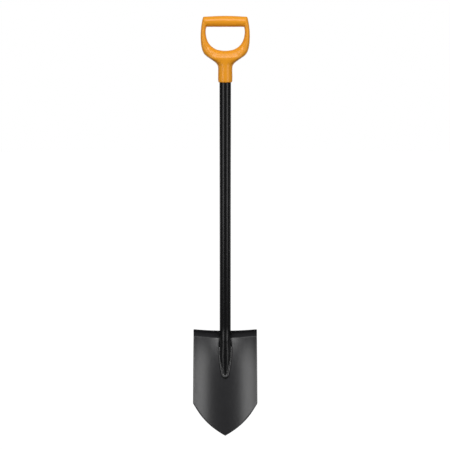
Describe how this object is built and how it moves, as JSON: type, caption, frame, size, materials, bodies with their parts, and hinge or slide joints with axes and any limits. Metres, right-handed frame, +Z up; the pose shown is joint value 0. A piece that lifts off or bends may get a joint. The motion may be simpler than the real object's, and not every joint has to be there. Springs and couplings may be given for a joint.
{
  "type": "pointed spade",
  "caption": "Pointed digging spade: dished steel blade with ogival point and forward treads, welded to a straight steel tube with a moulded D-shaped handle.",
  "frame": {"origin": "middle of the underside of the grip bar, where the spade hangs on a hook or in the hand", "axes": "+Z up along the straight shaft, towards the grip; the front, with the hollow of the blade and the treads, faces -Y; +X to the right as seen from the front"},
  "size_m": [0.1798, 0.1113, 1.1546],
  "materials": {
    "handle_plastic": "satin",
    "shaft_coat": "satin",
    "blade_coat": "satin",
    "weld_coat": "satin",
    "screw_zinc": "satin"
  },
  "bodies": {
    "root": {"d_handle": "handle_plastic", "shaft": "shaft_coat", "blade": "blade_coat", "shaft_weld": "weld_coat", "weld_left": "weld_coat", "weld_right": "weld_coat", "handle_screw": "screw_zinc"}
  },
  "joints": []
}
